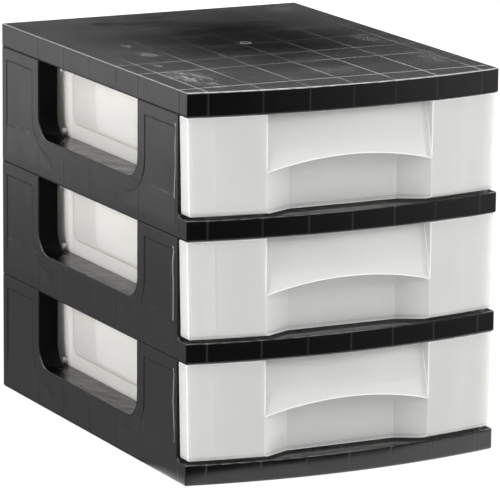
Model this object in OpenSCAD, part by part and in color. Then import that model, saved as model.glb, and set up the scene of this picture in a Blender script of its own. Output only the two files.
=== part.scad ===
// Desktop tower of stacked drawer modules: moulded frames, sliding drawers and a cover.
// X is to the right, Y to the back, Z up. The origin is the middle of the footprint.

/* [Unit] */
// Width of the unit
unit_w = 280; // [250:1:320]
// Depth of the side walls, from the front corners to the back
side_d = 364; // [320:1:420]
// How far the middle of the bowed front stands out past its corners
bow = 16; // [8:1:22]
// Height of one tier, from one band to the next
tier_h = 99.5; // [90:0.5:125]
// Wall thickness of the frames
frame_wall = 2; // [1.6:0.1:3]

/* [Bands] */
// Height of the band round each tier's floor
band_h = 17; // [15:0.5:22]
// Height of the cover's band
cover_h = 20; // [16:0.5:26]
// Rounding of the edges that show on bands and cover
band_edge_r = 1; // [0.5:0.1:1.6]
// Height of the shadow joint round the foot of each band
joint_h = 0.8; // [0.4:0.1:1.5]
// Depth of the shadow joint
joint_d = 0.6; // [0.3:0.1:1]
// Thickness of the ribs under floors and cover
rib_t = 1.2; // [0.8:0.1:2]
// Height above a band's foot at which its ribs and stacking ledge start
ledge_z = 8.3; // [7:0.1:10]
// Width of the stacking ledge inside a band
ledge_w = 4; // [3:0.5:8]
// Distances of the lengthwise ribs from the middle
rib_x = [0, 38.5, 78, 123];
// Distances of the crosswise ribs from the back
rib_back = [74, 126.5, 178.5, 231, 273, 349];

/* [Posts and windows] */
// How far the front posts stand behind the front corners
post_setback = 16; // [13:0.5:24]
// Width of the front and back posts, seen from the side
post_w = 75; // [60:1:90]
// Depth of the flanges round the windows and on the front posts
flange_d = 18; // [12:0.5:19]
// Height of the window sill above the tier's foot
sill_z = 34; // [26:0.5:50]
// Gap between the side of the box and the sill, which guides it
sill_gap = 0.8; // [0.6:0.1:2]
// Rounding of the lower window corners
window_r = 19; // [8:0.5:26]
// Width of the back wall on each side of the back opening
back_return = 55; // [40:1:90]
// Radius of the fillet at the foot of the front posts
foot_r = 5; // [3:0.5:7]
// Depth of the sunk panels on the posts
panel_sink = 0.6; // [0.4:0.1:1]
// Height of the bottom and the top edge of the sunk panels above the tier's foot
panel_z = [9.5, 89];
// Height over which the sunk panels fade out at their bottom
panel_fade = 26; // [10:1:40]
// Margin of a sunk panel from the front or back edge of its post
panel_margin = 4; // [3:0.5:9]
// Width of the rim left between a sunk panel and the window
window_rim = 12.5; // [8:0.5:16]

/* [Stacking and running] */
// Height of the stacking tabs above the post tops
tab_h = 8; // [5:0.1:8]
// Height of the tabs' roots, on the inner faces of the posts
tab_root = 16; // [10:1:24]
// Clearance of the stacking tabs in the band above
tab_gap = 0.3; // [0.2:0.05:0.6]
// Distance of the runner ribs from the middle
runner_x = 96; // [60:1:104]
// Width of the runner ribs
runner_w = 3; // [2:0.5:6]
// Running gap under and beside the drawer
run_gap = 0.3; // [0.2:0.05:0.5]
// Thickness of the guide ribs beside the drawer
guide_t = 1.6; // [1.2:0.1:2]
// Height of the guide ribs beside the drawer
guide_h = 6; // [3:0.5:9]
// How far the stop tabs reach in from the front posts
stop_reach = 4.8; // [4:0.1:5.5]
// Height of the stop tabs
stop_h = 15; // [8:1:20]

/* [Drawer] */
// Wall thickness of the drawer
drawer_wall = 2; // [1.5:0.1:2.5]
// Gap between the top of a band and the drawer above it
floor_gap = 2; // [1.5:0.1:3]
// Gap between the drawer and the band above it
top_gap = 0.8; // [0.5:0.1:1.5]
// How far the drawer front stands behind the face of the band
front_setback = 1.5; // [1:0.1:3]
// Gap between the side of the drawer front and the side of the unit, at its top
front_side_gap = 1.3; // [0.8:0.1:3]
// How much narrower the drawer front is at its bottom, on each side
front_draft = 1.7; // [0:0.1:3]
// Rounding of the bottom edge and corners of the drawer front
front_r = 2.5; // [2.5:0.5:6]
// Rounding of the same edge and corners inside the drawer front
front_r_in = 2; // [2:0.5:5]
// Gap between the drawer front and the front posts
post_gap = 1; // [0.6:0.1:2]
// Gap between the box of the drawer and the post flanges, at the rim of the box
box_side_gap = 6; // [5.5:0.5:10]
// How much narrower the box is at its bottom, on each side
box_draft = 2; // [0.5:0.1:3]
// Rounding of the lower edges of the box
box_r = 4; // [2.5:0.5:8]
// Rounding of the upright back corners of the box
back_corner_r = 9; // [4:1:20]
// Gap between the back of the box and the back wall of the frame
back_gap = 7; // [5:0.5:20]
// Width of the rim round the box
rim_w = 3; // [2:0.5:3]
// Thickness of the rim round the box
rim_t = 2; // [1.5:0.1:3]

/* [Drawer sides] */
// How far the stiffening panels stand out of the box sides
side_panel_t = 0.8; // [0.4:0.1:1.2]
// Distance from the back of the box to the stiffening panels
side_panel_back = 85; // [50:1:120]
// Distance from the front posts to the stiffening panels
side_panel_front = 20; // [10:1:60]
// Height of the lower edge of the stiffening panels above the box floor
side_panel_z = 27.5; // [24:0.5:40]
// Distance from the rim of the box to the upper edge of the stiffening panels
side_panel_drop = 5; // [2:0.5:12]
// Corner rounding of the stiffening panels
side_panel_r = 10; // [4:0.5:14]
// Distance from the back of the box to the stop studs
stud_back = 68; // [40:0.1:80]
// Gap between the stop studs and the sill that they pass over
stud_gap = 1.6; // [1:0.1:4]
// Radius of the stop studs
stud_r = 2.2; // [1.8:0.1:3]
// How far the stop studs reach out of the box sides
stud_reach = 5; // [4.5:0.1:6.5]
// Distance from the back of the box to the half-round tabs under the rim
ear_back = 62.4; // [40:0.1:80]
// Radius of the half-round tabs under the rim
ear_r = 10.5; // [6:0.5:14]
// Thickness of the half-round tabs under the rim
ear_t = 1.6; // [1:0.1:2]

/* [Finger pull] */
// Half width of the pull
pull_w = 74.3; // [60:0.5:90]
// Half width of the flat back wall of the finger recess
recess_w = 48.5; // [35:0.5:55]
// Depth of the finger recess, from the middle of the drawer front
recess_d = 16.5; // [12:0.5:22]
// Height of the arch above the bottom of the drawer, at its ends
arch_low = 33; // [26:0.5:40]
// Rise of the arch from its ends to its middle
arch_rise = 10.2; // [5:0.1:16]
// Height of the space behind the lip, above the bottom of the drawer
hook_z = 51; // [46:0.5:60]
// How far the top of the lip leans back
lip_lean = 6; // [2:0.5:9]
// Width of the slanted facet at each side of the lip, at its top
lip_facet = 3.5; // [1:0.5:8]

/* [Hidden] */
$fn = 64;
bow_fn = 720;
arch_fn = 360;
// Overshoot of cutting shapes past the faces that they cut
past = 1;
frame_colour = "#161616";
drawer_colour = "#dfe1dd";

// Plan of the unit
half_w = unit_w / 2;
full_d = side_d + bow;
front_y = -full_d / 2;
back_y = full_d / 2;
corner_y = front_y + bow;
bow_r = (pow(half_w, 2) + pow(bow, 2)) / (2 * bow);
bow_y = front_y + bow_r;

// Frame
post_y = corner_y + post_setback;
window_front = post_y + post_w;
window_back = back_y - post_w;
flange_x = half_w - flange_d;
tab_x = half_w - frame_wall - tab_gap;
stop_x = flange_x - stop_reach;

// Drawer, with heights from the foot of its tier
drawer_bottom = band_h + floor_gap;
drawer_top = tier_h - top_gap;
drawer_h = drawer_top - drawer_bottom;
front_r_out = bow_r - front_setback;
front_w = half_w - front_side_gap;
front_back_y = post_y - post_gap;
box_w = flange_x - box_side_gap;
box_back = back_y - frame_wall - back_gap;
box_low_w = box_w - box_draft;
panel_front_y = post_y + side_panel_front;
panel_back_y = box_back - side_panel_back;
sill_lean = box_draft * (sill_z - drawer_bottom) / drawer_h;
sill_x = box_low_w + sill_lean + sill_gap;
stud_y = box_back - stud_back;
stud_z = sill_z + stud_gap + stud_r;
ear_y = box_back - ear_back;
recess_y = front_y + front_setback + recess_d;

// ---------- 2-D outlines ----------

// Plan of the unit, drawn in by an inset all round
module plan(inset) {
    intersection() {
        translate([-half_w + inset, front_y - past])
            square([unit_w - 2 * inset, full_d + past - inset]);
        translate([0, bow_y])
            circle(r = bow_r - inset, $fn = bow_fn);
    }
}

// Bar on the X axis with its two top corners round
module bar_round_top(w, h, r) {
    translate([-w / 2, 0])
        square([w, h - r]);
    translate([-w / 2 + r, 0])
        square([w - 2 * r, h]);
    for (side = [-1, 1])
        translate([side * (w / 2 - r), h - r])
            circle(r);
}

// Rectangle between two corners, all four corners round
module soft_rect(low, high, r) {
    translate([low[0] + r, low[1]])
        square([high[0] - low[0] - 2 * r, high[1] - low[1]]);
    translate([low[0], low[1] + r])
        square([high[0] - low[0], high[1] - low[1] - 2 * r]);
    for (x = [low[0] + r, high[0] - r], y = [low[1] + r, high[1] - r])
        translate([x, y])
            circle(r);
}

// U-shaped opening between two edges, round below and open above
module u_opening(left, right, bottom, top, r) {
    translate([left, bottom + r])
        square([right - left, top - bottom - r]);
    translate([left + r, bottom])
        square([right - left - 2 * r, top - bottom]);
    for (x = [left + r, right - r])
        translate([x, bottom + r])
            circle(r);
}

// Side window in the (Y, Z) plane, grown outwards all round
module window_outline(grow) {
    u_opening(window_front - grow, window_back + grow, sill_z - grow, tier_h + past, window_r + grow);
}

// Upright outline that widens towards its top and has round lower corners
module tapered_front(low_w, high_w, bottom, top, r) {
    lean = atan((high_w - low_w) / (top - bottom));
    tangent = r / tan((90 + lean) / 2);
    right = [
        [low_w - tangent, bottom],
        [low_w + tangent * sin(lean), bottom + tangent * cos(lean)],
        [high_w, top]
    ];
    polygon(concat(right, [for (i = [2:-1:0]) [-right[i][0], right[i][1]]]));
    for (side = [-1, 1])
        translate([side * (low_w - tangent), bottom + r])
            circle(r);
}

// ---------- placing of outlines ----------

// Extrudes an outline drawn in (X, Z) from one Y to another
module along_y(from, to) {
    translate([0, to, 0])
        rotate([90, 0, 0])
            linear_extrude(height = to - from)
                children();
}

// Extrudes an outline drawn in (Y, Z) from one X to another
module along_x(from, to) {
    translate([from, 0, 0])
        rotate([90, 0, 90])
            linear_extrude(height = to - from)
                children();
}

// Turns an outline drawn in (radius, Z) about the upright axis of the bow
module round_bow() {
    translate([0, bow_y, 0])
        rotate_extrude($fn = bow_fn)
            children();
}

module on_both_sides() {
    for (side = [0, 1])
        mirror([side, 0, 0])
            children();
}

module at_level(level) {
    translate([0, 0, level * tier_h])
        children();
}

// ---------- bands, floor and ribs ----------

// Solid block of a band, with the edge of its bowed face round
module band_block(h, edge_r) {
    intersection() {
        translate([-half_w, front_y - past, 0])
            cube([unit_w, full_d + past, h]);
        round_bow() {
            square([bow_r, h - edge_r]);
            square([bow_r - edge_r, h]);
            translate([bow_r - edge_r, h - edge_r])
                circle(edge_r);
        }
    }
}

// Ribs under a floor, inside a band
module rib_grid(h) {
    intersection() {
        linear_extrude(height = h)
            plan(frame_wall / 2);
        translate([0, 0, ledge_z])
            union() {
                on_both_sides()
                    for (x = rib_x)
                        translate([x - rib_t / 2, front_y, 0])
                            cube([rib_t, full_d, h - ledge_z]);
                for (back = rib_back)
                    translate([-half_w, back_y - back - rib_t / 2, 0])
                        cube([unit_w, rib_t, h - ledge_z]);
            }
    }
}

// Ledges on which the stacking tabs of the tier below stop
module stacking_ledges() {
    on_both_sides()
        translate([half_w - frame_wall - ledge_w, post_y, ledge_z])
            cube([ledge_w + frame_wall / 2, back_y - frame_wall / 2 - post_y, rib_t]);
}

// Open-bottomed tray of a band: skirt, floor, ribs and ledges
module band_tray(h) {
    difference() {
        children();
        translate([0, 0, -past])
            linear_extrude(height = h - frame_wall + past)
                plan(frame_wall);
    }
    rib_grid(h - frame_wall / 2);
    stacking_ledges();
}

// Shadow joint round the foot of a band
module foot_joint() {
    difference() {
        translate([-half_w - past, front_y - past, -past])
            cube([unit_w + 2 * past, full_d + 2 * past, joint_h + past]);
        translate([0, 0, -2 * past])
            linear_extrude(height = joint_h + 4 * past)
                plan(joint_d);
    }
}

// ---------- tier frame ----------

// Side wall in the (Y, Z) plane, before the window is cut
module side_outline() {
    translate([post_y, 0])
        square([back_y - post_y, tier_h]);
}

// Fillet between the band and the front of a post
module post_foot() {
    difference() {
        translate([post_y - foot_r, band_h - past])
            square([foot_r + frame_wall / 2, foot_r + past]);
        translate([post_y - foot_r, band_h + foot_r])
            circle(foot_r);
    }
}

// Side wall, flanges, sill and front of the posts on the right side
module side_frame() {
    along_x(half_w - frame_wall, half_w)
        difference() {
            side_outline();
            window_outline(0);
        }
    along_x(flange_x, half_w)
        difference() {
            intersection() {
                window_outline(frame_wall);
                side_outline();
            }
            window_outline(0);
        }
    translate([flange_x, post_y, 0])
        cube([flange_d, frame_wall, tier_h]);
    along_x(flange_x, half_w)
        post_foot();
    translate([sill_x, window_front, sill_z - frame_wall])
        cube([flange_x + frame_wall / 2 - sill_x, window_back - window_front, frame_wall]);
    translate([stop_x, post_y, stud_z - stop_h / 2])
        cube([stop_reach + frame_wall, frame_wall, stop_h]);
}

// Back wall with its open middle
module back_wall() {
    along_y(back_y - frame_wall, back_y)
        difference() {
            translate([-half_w, 0])
                square([unit_w, tier_h]);
            u_opening(-half_w + back_return, half_w - back_return, sill_z, tier_h + past, window_r);
        }
}

// Stacking tabs on the tops of the right-hand posts
module stacking_tabs() {
    inset = frame_wall + tab_gap + past;
    length = post_w - 2 * inset;
    for (y = [post_y + inset, back_y - inset - length])
        translate([tab_x - frame_wall, y, tier_h - tab_root]) {
            cube([frame_wall, length, tab_root + tab_h]);
            cube([frame_wall + 2 * tab_gap, length, tab_root]);
        }
}

// Outlines of the sunk panels in the (Y, Z) plane, round the corners of the window
module panel_outlines(front_end, back_end) {
    height = panel_z[1] - panel_z[0];
    difference() {
        union() {
            translate([post_y + panel_margin, panel_z[0]])
                square([front_end - post_y - panel_margin, height]);
            translate([back_end, panel_z[0]])
                square([back_y - 2 * panel_margin - back_end, height]);
        }
        window_outline(window_rim);
    }
}

// Sunk panels on the right-hand posts; they fade out at the bottom and under the window
module sunk_panels() {
    floor_x = half_w - panel_sink;
    front_end = window_front + window_rim + window_r;
    back_end = window_back - window_rim - window_r;
    intersection() {
        along_x(half_w - frame_wall, half_w + past)
            panel_outlines(front_end, back_end);
        along_y(post_y, back_y)
            polygon([
                [half_w + past, panel_z[0]],
                [half_w, panel_z[0]],
                [floor_x, panel_z[0] + panel_fade],
                [floor_x, panel_z[1]],
                [half_w + past, panel_z[1]]
            ]);
        linear_extrude(height = tier_h)
            polygon([
                [half_w + past, post_y],
                [floor_x, post_y],
                [floor_x, window_front - window_rim],
                [half_w, front_end],
                [half_w, back_end],
                [floor_x, window_back + window_rim],
                [floor_x, back_y],
                [half_w + past, back_y]
            ]);
    }
}

// Ribs on the floor that carry and guide the drawer
module running_ribs() {
    length = back_y - frame_wall - post_y;
    guide_x = box_low_w + 2 * run_gap + side_panel_t;
    translate([runner_x - runner_w / 2, post_y, band_h - frame_wall / 2])
        cube([runner_w, length, frame_wall / 2 + floor_gap - run_gap]);
    translate([guide_x, post_y + frame_wall, band_h - frame_wall / 2])
        cube([guide_t, length - frame_wall, frame_wall / 2 + guide_h]);
}

module tier_frame() {
    color(frame_colour)
        difference() {
            union() {
                band_tray(band_h)
                    band_block(band_h, band_edge_r);
                back_wall();
                on_both_sides() {
                    side_frame();
                    stacking_tabs();
                    running_ribs();
                }
            }
            on_both_sides()
                sunk_panels();
            foot_joint();
        }
}

// ---------- cover ----------

module cover() {
    color(frame_colour)
        difference() {
            band_tray(cover_h)
                intersection() {
                    band_block(cover_h, band_edge_r);
                    along_y(front_y - past, back_y)
                        bar_round_top(unit_w, cover_h, band_edge_r);
                    along_x(-half_w, half_w)
                        bar_round_top(2 * back_y, cover_h, band_edge_r);
                }
            foot_joint();
        }
}

// ---------- drawer ----------

// Bowed block of the drawer front, drawn in by a skin thickness
module front_block(skin, corner, back) {
    r = front_r_out - skin;
    bottom = drawer_bottom + skin;
    intersection() {
        along_y(front_y - past, back)
            tapered_front(
                front_w - front_draft - skin, front_w - skin, bottom, drawer_top - skin, corner
            );
        round_bow() {
            translate([0, bottom + corner])
                square([r, drawer_h]);
            translate([0, bottom])
                square([r - corner, drawer_h]);
            translate([r - corner, bottom + corner])
                circle(corner);
        }
    }
}

// Outer form of the box behind a given Y, grown by a thickness or, below zero, hollowed
module box_block(grow, front) {
    inset = max(-grow, 0);
    back = box_back + grow;
    corner = back_corner_r - inset;
    intersection() {
        along_y(front, back)
            tapered_front(
                box_low_w + grow, box_w + grow, drawer_bottom + inset,
                drawer_top + inset, box_r - inset
            );
        linear_extrude(height = tier_h + past)
            union() {
                translate([-box_w - grow, front - past])
                    square([2 * (box_w + grow), back - corner - front + past]);
                translate([-box_w - grow + corner, front - past])
                    square([2 * (box_w + grow - corner), back - front + past]);
                for (side = [-1, 1])
                    translate([side * (box_w + grow - corner), back - corner])
                        circle(corner);
            }
    }
}

// Inside of the box
module box_hollow() {
    intersection() {
        box_block(-drawer_wall, front_y);
        round_bow()
            square([front_r_out - drawer_wall, tier_h + past]);
    }
}

// Space in front of the leaning lip, cut from the bowed block; skin grows it inwards
module lean_cut(skin) {
    low = drawer_bottom + arch_low;
    reach = 2 * recess_d;
    side_y = bow_y - sqrt(pow(front_r_out, 2) - pow(pull_w, 2));
    slope = lip_facet / lip_lean;
    intersection() {
        linear_extrude(height = tier_h)
            polygon([
                [-pull_w - skin + slope * reach, side_y + reach],
                [-pull_w - skin - slope * reach, side_y - reach],
                [pull_w + skin + slope * reach, side_y - reach],
                [pull_w + skin - slope * reach, side_y + reach]
            ]);
        round_bow()
            polygon([
                [front_r_out - skin, low],
                [front_r_out - skin - lip_lean, drawer_top],
                [front_r_out - skin - lip_lean, tier_h],
                [front_r_out + reach, tier_h],
                [front_r_out + reach, low]
            ]);
    }
}

// Trapezoid of the finger recess in plan, grown outwards by a skin thickness
module recess_plan(skin) {
    side_y = bow_y - sqrt(pow(front_r_out, 2) - pow(pull_w, 2));
    slope = (pull_w - recess_w) / (recess_y - side_y);
    slant = sqrt(1 + pow(slope, 2));
    reach = recess_d;
    polygon([
        [-recess_w - skin * (slant - slope), recess_y + skin],
        [-pull_w - slope * reach - skin * slant, side_y - reach],
        [pull_w + slope * reach + skin * slant, side_y - reach],
        [recess_w + skin * (slant - slope), recess_y + skin]
    ]);
}

// Finger recess: open in front up to the arch, and behind the lip up to the hook height
module finger_recess() {
    arch_r = (pow(pull_w, 2) + pow(arch_rise, 2)) / (2 * arch_rise);
    arch_top = drawer_bottom + arch_low + arch_rise;
    low = drawer_bottom + arch_low;
    difference() {
        linear_extrude(height = drawer_bottom + hook_z)
            recess_plan(0);
        intersection() {
            difference() {
                translate([-unit_w, front_y - recess_d, 0])
                    cube([2 * unit_w, 2 * recess_d, tier_h]);
                along_y(front_y - 2 * recess_d, front_y + 2 * recess_d)
                    translate([0, arch_top - arch_r])
                        circle(r = arch_r, $fn = arch_fn);
            }
            round_bow()
                polygon([
                    [front_r_out - drawer_wall, 0],
                    [front_r_out - drawer_wall, low],
                    [front_r_out - drawer_wall - lip_lean, drawer_top],
                    [front_r_out + 2 * recess_d, drawer_top],
                    [front_r_out + 2 * recess_d, 0]
                ]);
            translate([-unit_w, front_y - recess_d, low - past])
                cube([2 * unit_w, 2 * recess_d, tier_h]);
        }
    }
}

// Walls of the recess as seen from inside the box
module recess_shell() {
    linear_extrude(height = drawer_bottom + hook_z + drawer_wall)
        recess_plan(drawer_wall);
}

// Rim round the top of the box
module box_rim() {
    intersection() {
        translate([-unit_w, front_back_y, drawer_top - rim_t])
            cube([2 * unit_w, full_d, rim_t]);
        box_block(rim_w, front_back_y);
    }
}

// Stiffening panels, stop studs and half-round tabs on the sides of the box
module box_sides() {
    intersection() {
        box_block(side_panel_t, front_back_y);
        along_x(-unit_w, unit_w)
            soft_rect(
                [panel_front_y, drawer_bottom + side_panel_z],
                [panel_back_y, drawer_top - rim_t - side_panel_drop],
                side_panel_r
            );
    }
    on_both_sides() {
        translate([box_low_w - drawer_wall / 2, stud_y, stud_z])
            rotate([0, 90, 0])
                cylinder(r = stud_r, h = stud_reach + drawer_wall / 2);
        along_x(box_w + rim_w - ear_t, box_w + rim_w)
            intersection() {
                translate([ear_y, drawer_top - rim_t / 2])
                    circle(ear_r);
                translate([ear_y - ear_r, drawer_bottom])
                    square([2 * ear_r, drawer_h - rim_t / 2]);
            }
    }
}

// Everything that the drawer fills, before it is hollowed
module drawer_outside() {
    difference() {
        union() {
            front_block(0, front_r, front_back_y);
            box_block(0, front_back_y);
            box_rim();
            box_sides();
        }
        lean_cut(0);
        finger_recess();
    }
}

// Hollow ends of the bowed front, on each side of the box
module front_pockets() {
    difference() {
        front_block(drawer_wall, front_r_in, front_back_y + past);
        box_block(0, front_y);
        recess_shell();
    }
}

module drawer() {
    color(drawer_colour)
        difference() {
            drawer_outside();
            front_pockets();
            difference() {
                box_hollow();
                recess_shell();
                lean_cut(drawer_wall);
            }
        }
}

// ---------- nodes ----------

module top_cover() {
    at_level(3)
        cover();
}

module upper_frame() {
    at_level(2)
        tier_frame();
}

module middle_frame() {
    at_level(1)
        tier_frame();
}

module lower_frame() {
    at_level(0)
        tier_frame();
}

module top_drawer() {
    at_level(2)
        drawer();
}

module middle_drawer() {
    at_level(1)
        drawer();
}

module bottom_drawer() {
    at_level(0)
        drawer();
}

top_cover();
upper_frame();
middle_frame();
lower_frame();
top_drawer();
middle_drawer();
bottom_drawer();
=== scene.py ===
import math

import bpy
from mathutils import Matrix, Vector

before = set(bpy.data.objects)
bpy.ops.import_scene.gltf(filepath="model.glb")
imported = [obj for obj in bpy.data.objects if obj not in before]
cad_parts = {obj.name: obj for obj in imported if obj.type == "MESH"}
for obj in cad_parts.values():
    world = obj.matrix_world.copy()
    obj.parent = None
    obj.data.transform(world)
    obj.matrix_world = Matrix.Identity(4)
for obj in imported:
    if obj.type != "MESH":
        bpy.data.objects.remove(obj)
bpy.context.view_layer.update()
bpy.ops.object.select_all(action="DESELECT")
print("frame loaded")


# camera, from the edges of the cover and the bands in the photograph

view = {
    "azimuth": -26.55,  # degrees, from the front towards the left
    "elevation": 12.32,
    "roll": 0.44,
    "distance": 3.723,
    "target": (0.0072, 0.008, 0.1454),
    "lens": 318.9,
    "sensor": 36,
    "clipEnd": 50,
}


def addCamera():
    azimuth, elevation, roll = (math.radians(view[k]) for k in ("azimuth", "elevation", "roll"))
    back = Vector((
        math.sin(azimuth) * math.cos(elevation),
        -math.cos(azimuth) * math.cos(elevation),
        math.sin(elevation),
    ))
    right = (-back).cross(Vector((0, 0, 1))).normalized()
    up = right.cross(-back)
    rightRolled = math.cos(roll) * right + math.sin(roll) * up
    upRolled = rightRolled.cross(-back)
    data = bpy.data.cameras.new("camera")
    data.lens = view["lens"]
    data.sensor_width = view["sensor"]
    data.clip_end = view["clipEnd"]
    camera = bpy.data.objects.new("camera", data)
    bpy.context.collection.objects.link(camera)
    camera.location = Vector(view["target"]) + back * view["distance"]
    camera.rotation_euler = Matrix((rightRolled, upRolled, back)).transposed().to_euler()
    bpy.context.scene.camera = camera


addCamera()
print("camera placed")


# small helpers for node trees

class NodeTree:
    def __init__(self, tree):
        self.tree = tree

    def add(self, kind, inputs=None, **settings):
        node = self.tree.nodes.new(kind)
        for key, value in settings.items():
            setattr(node, key, value)
        for key, value in (inputs or {}).items():
            self.put(node.inputs[key], value)
        return node

    def put(self, socket, value):
        if isinstance(value, bpy.types.NodeSocket):
            self.tree.links.new(value, socket)
        else:
            socket.default_value = value

    def math(self, operation, a, b=0.0, clamp=False):
        node = self.add("ShaderNodeMath", {0: a, 1: b}, operation=operation, use_clamp=clamp)
        return node.outputs[0]

    def plus(self, a, b, clamp=False):
        return self.math("ADD", a, b, clamp)

    def minus(self, a, b):
        return self.math("SUBTRACT", a, b)

    def times(self, first, *others, clamp=False):
        for other in others:
            first = self.math("MULTIPLY", first, other, clamp)
        return first

    def without(self, share):
        return self.minus(1.0, share)

    def above(self, value, limit):
        return self.math("GREATER_THAN", value, limit)

    def below(self, value, limit):
        return self.math("LESS_THAN", value, limit)

    def between(self, value, low, high):
        return self.times(self.above(value, low), self.below(value, high))

    def largest(self, first, *others):
        for other in others:
            first = self.math("MAXIMUM", first, other)
        return first

    def ramp(self, value, low, high, toLow=0.0, toHigh=1.0):
        node = self.add("ShaderNodeMapRange", {
            "Value": value, "From Min": low, "From Max": high, "To Min": toLow, "To Max": toHigh,
        }, interpolation_type="SMOOTHSTEP")
        return node.outputs[0]

    # one value where the share is 0, another where it is 1
    def either(self, share, off, on):
        return self.ramp(share, 0.0, 1.0, off, on)

    # noise with the scale and detail of a dictionary, and its roughness and stretch if it has them
    def noise(self, place, p):
        if "stretch" in p:
            place = self.scaled(place, p["stretch"])
        node = self.add("ShaderNodeTexNoise", {
            "Vector": place, "Scale": p["scale"], "Detail": p["detail"], "Roughness": p.get("rough", 0.5),
        })
        return node.outputs["Fac"]

    def split(self, vector):
        return self.add("ShaderNodeSeparateXYZ", {0: vector}).outputs

    def scaled(self, vector, scale):
        return self.add("ShaderNodeMapping", {"Vector": vector, "Scale": scale}).outputs[0]

    def distance(self, a, b):
        return self.add("ShaderNodeVectorMath", {0: a, 1: b}, operation="DISTANCE").outputs["Value"]

    def blend(self, share, a, b):
        return self.add("ShaderNodeMix", {0: share, 6: a, 7: b}, data_type="RGBA").outputs[2]

    def mixed(self, share, a, b):
        return self.add("ShaderNodeMixShader", {0: share, 1: a, 2: b}).outputs[0]

    # 1 on a line at one coordinate, 0 beyond its half width
    def line(self, coordinate, at, halfWidth):
        off = self.math("ABSOLUTE", self.minus(coordinate, at))
        return self.ramp(off, 0.0, halfWidth, 1.0, 0.0)

    # 1 in the middle of an oval patch, 0 outside it
    def patch(self, x, y, centre, radii):
        across = self.math("DIVIDE", self.minus(x, centre[0]), radii[0])
        along = self.math("DIVIDE", self.minus(y, centre[1]), radii[1])
        off = self.plus(self.math("POWER", across, 2.0), self.math("POWER", along, 2.0))
        return self.ramp(off, 0.0, 1.0, 1.0, 0.0)

    # 1 inside a rectangle with round corners, 0 outside it
    def pane(self, x, y, sides, soft):
        left, right, low, high, corner = sides
        squares = []
        for value, start, end in ((x, left, right), (y, low, high)):
            away = self.math("ABSOLUTE", self.minus(value, (start + end) / 2))
            past = self.largest(self.minus(away, (end - start) / 2 - corner), 0.0)
            squares.append(self.math("POWER", past, 2.0))
        return self.ramp(self.math("SQRT", self.plus(*squares)), corner - soft, corner, 1.0, 0.0)

    # normal rounded over the edges, and a mask of the edges by how far it turns
    def edges(self, p):
        start, full = p["turns"]
        soft = self.add("ShaderNodeBevel", {"Radius": p["radius"]}, samples=p["samples"]).outputs[0]
        flat = self.add("ShaderNodeNewGeometry").outputs["Normal"]
        alike = self.add("ShaderNodeVectorMath", {0: soft, 1: flat}, operation="DOT_PRODUCT")
        return soft, self.ramp(alike.outputs["Value"], 1 - full, 1 - start, 1.0, 0.0)

    def bump(self, height, **inputs):
        inputs.update({"Height": height, "Strength": 1.0, "Distance": 1.0})
        return self.add("ShaderNodeBump", inputs).outputs[0]


def newMaterial(name):
    material = bpy.data.materials.new(name)
    material.use_nodes = True
    material.node_tree.nodes.clear()
    return material, NodeTree(material.node_tree)


# glossy black plastic of the frames and the cover, with places and sizes in metres

framePlastic = {
    "colour": (0.003, 0.003, 0.0032, 1),
    "specular": 0.25,
    "roughness": 0.13,
    # how the roughness wanders
    "smear": {"scale": 22, "detail": 4, "range": (0.35, 0.7), "less": 0.03, "more": 0.07},
    # unevenness of the surface, and its share on the cover
    "wave": {"scale": 24, "detail": 2, "height": 0.0003, "onTop": 0.3},
    "tier": 0.0995,  # height of a tier
    "top": 0.318,  # just below the cover's face
    "front": -0.1738,  # where the bowed fronts of the bands begin
    # edge colour: painted highlight along every edge, where the rounded normal turns
    "edge": {"colour": (0.02, 0.02, 0.02, 1), "radius": 0.0016, "samples": 6, "turns": (0.01, 0.15)},
    "rim": {  # painted highlight round the cover's top edge, where the normal points partly up
        "colour": (0.26, 0.26, 0.26, 1),
        "height": 0.0015,
        "starts": (0.25, 0.5),
        "ends": (0.85, 0.96),
    },
    "gate": {"place": (0.006, 0.017, 0.318), "radius": 0.0042, "width": 0.0014},  # mark of the mould
}

# sink lines on the bands and the cover: real shallow pits in the bump, with a pale colour as a painted
# highlight
sinkLines = {
    "colour": (0.17, 0.17, 0.172, 1),
    "across": (0.0, 0.0385, 0.078, 0.123),
    "along": (-0.159, -0.083, -0.041, 0.0115, 0.0635, 0.116),
    "upTo": 0.026,  # height above a band's foot
    "width": 0.0015,
    "depth": 0.0001,
    "rough": 0.2,
    "patchy": {"scale": 9, "detail": 2, "range": (0.3, 0.6), "least": 0.5},
    "fading": {"from": -0.15, "to": 0.10, "least": 0.2},  # towards the cover's back
    "centre": {"from": 0.02, "to": 0.13, "least": 0.1},  # and towards its middle
    "onFront": 0.08,
}

# painted sheen on the cover, a painted reflection, pale with a dark middle
paintedSheen = {
    "colour": (0.1, 0.1, 0.103, 1),
    "darkest": (0.02, 0.035),
    "squeeze": 0.8,
    "from": 0.02,
    "to": 0.17,
    "most": 0.75,
    "cloud": {
        "scale": 22, "detail": 4, "stretch": (0.6, 1, 1),
        "range": (0.35, 0.8), "least": -0.06, "most": 0.1,
    },
    "darkSpots": [  # darker spots in the painted sheen: centre and radii
        ((-0.062, 0.151), (0.016, 0.012)),
        ((-0.038, 0.140), (0.016, 0.012)),
        ((-0.006, 0.165), (0.020, 0.010)),
    ],
    "dimmed": 0.5,
}

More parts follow.
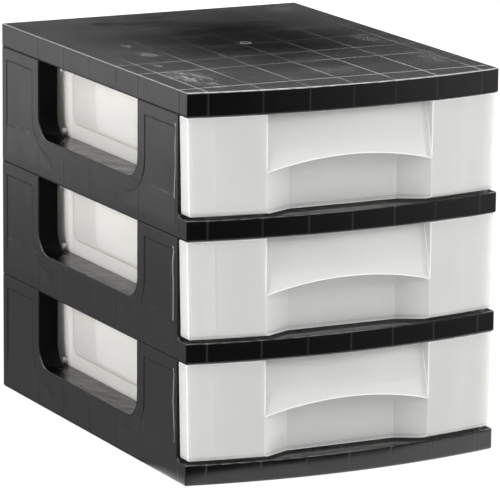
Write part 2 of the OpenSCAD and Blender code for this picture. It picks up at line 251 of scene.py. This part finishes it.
# fine rubbed marks on the cover
scuffs = {
    "colour": (0.32, 0.32, 0.32, 1),
    "grain": {"scale": 620, "detail": 2, "rough": 0.7, "stretch": (1, 0.12, 1), "range": (0.4, 0.75)},
    "dust": {"scale": 260, "detail": 3, "range": (0.66, 0.8), "strength": 0.15},
    "patches": [  # centre, radii and strength
        ((-0.108, -0.112), (0.020, 0.045), 0.9),
        ((-0.104, -0.150), (0.012, 0.020), 0.8),
        ((-0.092, 0.042), (0.005, 0.010), 1.0),
        ((-0.092, -0.002), (0.012, 0.016), 0.9),
        ((-0.107, -0.053), (0.005, 0.010), 0.9),
        ((0.110, -0.003), (0.012, 0.030), 0.45),
        ((0.112, -0.106), (0.012, 0.045), 0.35),
        ((0.010, -0.128), (0.030, 0.024), 0.3),
        ((0.112, 0.160), (0.014, 0.016), 0.4),
    ],
}

# ripple on the window sills, between two heights above a tier's foot
sill = {"low": 0.0325, "high": 0.0345, "scale": 70, "detail": 2, "stretch": (1, 0.6, 1), "height": 0.0012}

# rear jamb of each window, with less shine than the rest, to match the photograph: painted shade, a darker
# copy of the plastic
jamb = {"along": (0.099, 0.119), "across": (0.121, 0.1388), "specular": 0.04}

# painted highlight: a pale wavy line down each front post
postLine = {
    "at": -0.1515,
    "width": 0.0016,
    "heights": (0.031, 0.092),
    "outside": 0.136,
    "wander": {"scale": 26, "detail": 1, "reach": 0.012},
}


def sinkMask(t, place, onTop, over):
    p = sinkLines
    x, y = t.split(place)[:2]
    aside = t.math("ABSOLUTE", x)
    ribs = t.largest(
        *[t.line(aside, at, p["width"]) for at in p["across"]],
        *[t.line(y, at, p["width"]) for at in p["along"]])
    fade = p["fading"]
    patchy = p["patchy"]
    ahead = t.ramp(y, fade["from"], fade["to"], 1.0, fade["least"])
    shown = t.ramp(t.noise(place, patchy), *patchy["range"], patchy["least"], 1.0)
    grid = t.times(ribs, t.below(over, p["upTo"]), shown, t.largest(ahead, t.without(onTop)))
    # on the cover the foremost line shows in full
    return t.largest(grid, t.times(t.line(y, p["along"][0], p["width"]), onTop))


# how much painted sheen, a painted reflection, lies on the cover
def paintedSheenMask(t, place, off):
    p = paintedSheen
    x, y = t.split(place)[:2]
    cloud = p["cloud"]
    uneven = t.ramp(t.noise(place, cloud), *cloud["range"], cloud["least"], cloud["most"])
    pale = t.plus(t.ramp(off, p["from"], p["to"], 0.0, p["most"]), uneven, clamp=True)
    dark = t.largest(*[t.patch(x, y, centre, radii) for centre, radii in p["darkSpots"]])
    return t.times(pale, t.without(t.times(dark, p["dimmed"])))


def scuffMask(t, place):
    grain = scuffs["grain"]
    x, y = t.split(place)[:2]
    worn = t.largest(*[
        t.times(t.patch(x, y, centre, radii), strength) for centre, radii, strength in scuffs["patches"]])
    return t.times(worn, t.ramp(t.noise(place, grain), *grain["range"]))


# painted highlight down each front post
def postLineMask(t, place, over):
    p = postLine
    reach = p["wander"]["reach"]
    x, y = t.split(place)[:2]
    wander = t.times(t.noise(place, p["wander"]), reach)
    drawn = t.line(t.plus(y, wander), p["at"] + reach / 2, p["width"])
    return t.times(drawn, t.between(over, *p["heights"]), t.above(t.math("ABSOLUTE", x), p["outside"]))


def blackPlastic():
    p = framePlastic
    wave, smear, gate, rim = p["wave"], p["smear"], p["gate"], p["rim"]
    middle, dust, squeeze = sinkLines["centre"], scuffs["dust"], paintedSheen["squeeze"]
    material, t = newMaterial("black_plastic")
    place = t.add("ShaderNodeTexCoord").outputs["Object"]
    x, y, z = t.split(place)
    over = t.math("MODULO", z, p["tier"])
    onTop = t.above(z, p["top"])

    darkest = (paintedSheen["darkest"][0], squeeze * paintedSheen["darkest"][1], 0)
    off = t.distance(t.scaled(place, (1, squeeze, 0)), darkest)
    sink = sinkMask(t, place, onTop, over)
    ring = t.line(t.distance(place, gate["place"]), gate["radius"], gate["width"])
    scuff = t.times(scuffMask(t, place), onTop)
    soft, edge = t.edges(p["edge"])

    uneven = t.times(t.noise(place, wave),
                     t.either(onTop, wave["height"], wave["onTop"] * wave["height"]))
    ripple = t.times(t.noise(place, sill), sill["height"], t.between(over, sill["low"], sill["high"]))
    pits = t.times(t.largest(sink, ring), sinkLines["depth"])
    normal = t.bump(t.minus(t.plus(uneven, ripple), pits), Normal=soft)

    # painted sheen, a painted reflection, on the cover's top
    colour = t.blend(t.times(paintedSheenMask(t, place, off), onTop), p["colour"], paintedSheen["colour"])
    # painted highlight on the sink lines, full on the cover, faint on the fronts, fading towards the
    # cover's middle, and on the post line
    seen = t.largest(onTop, t.times(t.below(y, p["front"]), sinkLines["onFront"]))
    seen = t.times(seen, t.ramp(off, middle["from"], middle["to"], middle["least"], 1.0))
    pale = t.largest(t.times(sink, seen), postLineMask(t, place, over))
    colour = t.blend(pale, colour, sinkLines["colour"])
    # painted highlight along every edge
    colour = t.blend(edge, colour, p["edge"]["colour"])
    up = t.split(t.add("ShaderNodeNewGeometry").outputs["Normal"])[2]
    # painted highlight on the cover's top edge, where the normal points partly up
    paintedRimHighlight = t.times(t.ramp(up, *rim["starts"]), t.ramp(up, *rim["ends"], 1.0, 0.0),
                     t.above(z, p["top"] - rim["height"]))
    colour = t.blend(paintedRimHighlight, colour, rim["colour"])
    specks = t.times(t.ramp(t.noise(place, dust), *dust["range"]), dust["strength"], onTop)
    colour = t.blend(t.largest(scuff, specks), colour, scuffs["colour"])
    colour = t.blend(ring, colour, rim["colour"])

    rough = t.ramp(t.noise(place, smear), *smear["range"], p["roughness"] - smear["less"],
                   t.either(onTop, p["roughness"] + smear["more"], p["roughness"]))
    rough = t.plus(rough, t.times(t.largest(scuff, sink), sinkLines["rough"]))

    # a shiny copy, and a shaded copy with less shine for painted shade on the rear jambs
    shiny, shaded = [t.add("ShaderNodeBsdfPrincipled", {
        "Base Color": colour, "Roughness": rough, "Normal": normal, "Specular IOR Level": specular,
    }).outputs[0] for specular in (p["specular"], jamb["specular"])]
    inJamb = t.times(t.between(y, *jamb["along"]), t.between(t.math("ABSOLUTE", x), *jamb["across"]),
                     t.without(onTop))
    t.add("ShaderNodeOutputMaterial", {"Surface": t.mixed(inJamb, shiny, shaded)})
    return material


# frosted plastic of the drawers, with places and sizes in metres

drawerPlastic = {
    # edge colours: a painted highlight on the front's edges, painted brownish shade on the box's edges
    "front": {"colour": (0.84, 0.845, 0.845, 1), "roughness": 0.22, "edge": (0.99, 0.99, 0.985, 1)},
    "box": {"colour": (0.93, 0.915, 0.895, 1), "roughness": 0.08, "edge": (0.42, 0.39, 0.36, 1)},
    "through": 0.45,  # share of the light that is scattered through a wall
    "throughColour": (0.95, 0.935, 0.91, 1),
    "clear": 0.3,  # share that passes straight through
    "clearColour": (0.98, 0.975, 0.96, 1),
    "milky": {"clear": 0.05, "along": (0.098, 0.106)},  # side walls, towards their rear, made less clear so that they look paler: painted light
    "frontEnd": -0.157,  # where the matt front ends and the smoother box begins
    "side": 0.111,  # beyond this the box is its side walls
    "tier": 0.0995,
    "edge": {"radius": 0.0013, "samples": 6, "turns": (0.005, 0.09)},
    "smear": {"scale": 30, "detail": 3, "range": (0.3, 0.7), "reach": 0.03},  # how the roughness wanders
    "frost": {"scale": 900, "detail": 2, "height": 0.00001},
    "ripple": {"scale": 16, "detail": 2, "height": 0.0003},
    "foot": {"height": 0.0218, "width": 0.0009, "colour": (0.6, 0.6, 0.6, 1)},  # line round the front
}

# stiffening panel in each side wall: its ends, bottom, top and corner radius; its border is painted darker
# and its outline drawn in the box's dark edge colour, as painted shade
sidePanel = {
    "panel": (-0.138, 0.096, 0.0465, 0.0915, 0.010),
    "inner": (-0.137, 0.095, 0.0475, 0.0905, 0.009),  # inside its outline
    "pane": (-0.138, 0.051, 0.0487, 0.0915, 0.009),  # pane in it, left paler, without the painted shade
    "colour": (0.78, 0.765, 0.75, 1),
    "sharp": 0.0004,
    "soft": (0.0006, 0.002),
}


def frostedPlastic():
    p = drawerPlastic
    front, box, foot, smear = p["front"], p["box"], p["foot"], p["smear"]
    material, t = newMaterial("frosted_plastic")
    place = t.add("ShaderNodeTexCoord").outputs["Object"]
    x, y, z = t.split(place)
    over = t.math("MODULO", z, p["tier"])
    isBox = t.above(y, p["frontEnd"])
    onSide = t.above(t.math("ABSOLUTE", x), p["side"])
    edge = t.edges(p["edge"])[1]
    plain = t.without(edge)

    def panelMask(outer, inner, softness):
        shape = t.minus(*[t.pane(y, over, sidePanel[name], soft)
                          for name, soft in zip((outer, inner), softness)])
        return t.times(shape, onSide, clamp=True)

    # painted shade: a darker border in the panel round a paler pane, and a dark line on its outline
    border = panelMask("panel", "pane", sidePanel["soft"])
    outline = panelMask("panel", "inner", (sidePanel["sharp"],) * 2)
    frontColour = t.blend(t.line(over, foot["height"], foot["width"]), front["colour"], foot["colour"])
    boxColour = t.blend(outline, t.blend(border, box["colour"], sidePanel["colour"]), box["edge"])
    # painted highlight on the front's edges, painted shade on the box's edges
    edgeColour = t.blend(isBox, front["edge"], box["edge"])
    colour = t.blend(edge, t.blend(isBox, frontColour, boxColour), edgeColour)

    cloud = t.ramp(t.noise(place, smear), *smear["range"], -smear["reach"], smear["reach"])
    rough = t.plus(t.either(isBox, front["roughness"], box["roughness"]), cloud)
    height = t.plus(*[t.times(t.noise(place, p[name]), p[name]["height"]) for name in ("frost", "ripple")])
    surface = t.add("ShaderNodeBsdfPrincipled", {
        "Base Color": colour, "Roughness": rough, "Normal": t.bump(height),
    }).outputs[0]
    through = t.add("ShaderNodeBsdfTranslucent", {"Color": p["throughColour"]}).outputs[0]
    clear = t.add("ShaderNodeBsdfTransparent", {"Color": p["clearColour"]}).outputs[0]

    # painted light: the side walls' rear made less clear, so paler
    milky = t.times(t.ramp(y, *p["milky"]["along"]), onSide)
    clearShare = t.plus(p["clear"], t.times(milky, p["milky"]["clear"] - p["clear"]))
    body = t.mixed(t.times(plain, p["through"]), surface, through)
    t.add("ShaderNodeOutputMaterial", {"Surface": t.mixed(t.times(plain, clearShare), body, clear)})
    return material


black = blackPlastic()
frosted = frostedPlastic()
for name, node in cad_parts.items():
    node.data.materials.clear()
    node.data.materials.append(frosted if name.endswith("drawer") else black)
print("materials made")


# floor, backdrop and lamps

studio = {
    "floor": {"size": 6.0, "below": 0.0005, "colour": (0.9, 0.9, 0.9, 1)},
    "white": {"strength": 1.04, "share": 0.9},  # laid over the floor for the camera
    "room": 0.4,  # light from all round
    "backdrop": 1.0,  # behind the floor, for the camera
}

# what gloss alone sees in place of the white backdrop, set to give the black fronts and the grey sides
# of the photograph; turns in radians, from straight in front towards the right
glossStudio = {
    "floor": {"light": 0.05, "near": 0.6, "far": 1.9, "gap": 0.34},  # fades out away from the unit
    "card": {
        "centre": (0.06, -0.15), "radii": (0.205, 0.083), "squareness": 4.0,
        "light": 4.4, "border": (0.75, 1.2),
    },
    # below the horizon, in front and behind
    "front": {"straight": 0.03, "right": 1.3, "turns": (0.0, 1.1)},
    "back": {"straight": 0.0, "left": 3.0, "turns": (-3.0, -2.35), "ends": (-1.8, -0.9)},
    # above the horizon, rising steeply from its light at one height
    "high": {"light": 0.075, "at": 0.2134, "least": 0.001, "power": 4.0, "most": 14.0},
    "horizon": (-0.06, 0.08),
}


def addFloor():
    p, over, card, ground = studio["floor"], studio["white"], glossStudio["card"], glossStudio["floor"]
    bpy.ops.mesh.primitive_plane_add(size=p["size"], location=(0, 0, -p["below"]))
    floor = bpy.context.object
    floor.name = "floor"
    material, t = newMaterial("floor_white")
    path = t.add("ShaderNodeLightPath").outputs
    place = t.add("ShaderNodeTexCoord").outputs["Object"]

    cloth = t.add("ShaderNodeBsdfDiffuse", {"Color": p["colour"]}).outputs[0]
    white = t.add("ShaderNodeEmission", {"Color": (1, 1, 1, 1), "Strength": over["strength"]}).outputs[0]
    seen = t.mixed(t.times(path["Is Camera Ray"], over["share"]), cloth, white)

    powers = []
    for value, centre, radius in zip(t.split(place)[:2], card["centre"], card["radii"]):
        away = t.math("DIVIDE", t.math("ABSOLUTE", t.minus(value, centre)), radius)
        powers.append(t.math("POWER", away, card["squareness"]))
    light = t.ramp(t.plus(*powers), *card["border"], card["light"], ground["light"])
    shade = t.add("ShaderNodeEmission", {"Color": (1, 1, 1, 1), "Strength": light}).outputs[0]
    gap = t.add("ShaderNodeBsdfTransparent").outputs[0]
    away = t.distance(place, (0, 0, 0))
    mirrored = t.mixed(t.ramp(away, ground["near"], ground["far"], ground["gap"], 1.0), shade, gap)

    t.add("ShaderNodeOutputMaterial", {"Surface": t.mixed(path["Is Glossy Ray"], seen, mirrored)})
    floor.data.materials.append(material)


def addWorld():
    front, back, up = (glossStudio[name] for name in ("front", "back", "high"))
    world = bpy.data.worlds.new("studio")
    bpy.context.scene.world = world
    world.use_nodes = True
    world.node_tree.nodes.clear()
    t = NodeTree(world.node_tree)
    path = t.add("ShaderNodeLightPath").outputs
    x, y, z = t.split(t.add("ShaderNodeTexCoord").outputs["Generated"])

    turn = t.math("ARCTAN2", x, t.times(y, -1.0))
    ahead = t.ramp(turn, *front["turns"], front["straight"], front["right"])
    behind = t.times(t.ramp(turn, *back["ends"], 1.0, 0.0),
                     t.ramp(turn, *back["turns"], back["straight"], back["left"]))
    low = t.plus(ahead, behind)
    rise = t.math("POWER", t.math("DIVIDE", t.largest(z, up["least"]), up["at"]), up["power"])
    high = t.math("MINIMUM", t.times(rise, up["light"]), up["most"])
    isHigh = t.ramp(z, *glossStudio["horizon"])
    gloss = t.plus(t.times(low, t.without(isHigh)), t.times(high, isHigh))

    plain = t.either(path["Is Camera Ray"], studio["room"], studio["backdrop"])
    isGloss = path["Is Glossy Ray"]
    strength = t.plus(t.times(gloss, isGloss), t.times(plain, t.without(isGloss)))
    room = t.add("ShaderNodeBackground", {"Color": (1, 1, 1, 1), "Strength": strength}).outputs[0]
    t.add("ShaderNodeOutputWorld", {"Surface": room})


# place, size and power of each lamp; all look at the middle of the unit, and none shows in gloss
lamps = {
    "left_softbox": ((-2.0, 0.15, 0.8), (1.4, 1.2), 43),
    "back_softbox": ((1.2, 1.8, 0.5), (1.4, 1.0), 42),
    "top_softbox": ((0.1, -0.5, 2.0), (1.6, 1.6), 14),
    "front_softbox": ((0.0, -1.5, 1.7), (1.6, 1.0), 16),
    "right_softbox": ((2.0, -1.4, 1.0), (1.2, 1.0), 29),
}
lampsAim = (0, 0, 0.16)


def addLamp(name, place, size, power):
    data = bpy.data.lights.new(name, "AREA")
    data.shape = "RECTANGLE"
    data.size, data.size_y = size
    data.energy = power
    lamp = bpy.data.objects.new(name, data)
    bpy.context.collection.objects.link(lamp)
    lamp.location = place
    lamp.rotation_euler = (Vector(place) - Vector(lampsAim)).to_track_quat("Z", "Y").to_euler()
    lamp.visible_glossy = False


addFloor()
addWorld()
for name, (place, size, power) in lamps.items():
    addLamp(name, place, size, power)
bpy.context.scene.view_settings.view_transform = "Standard"
print("studio lit")
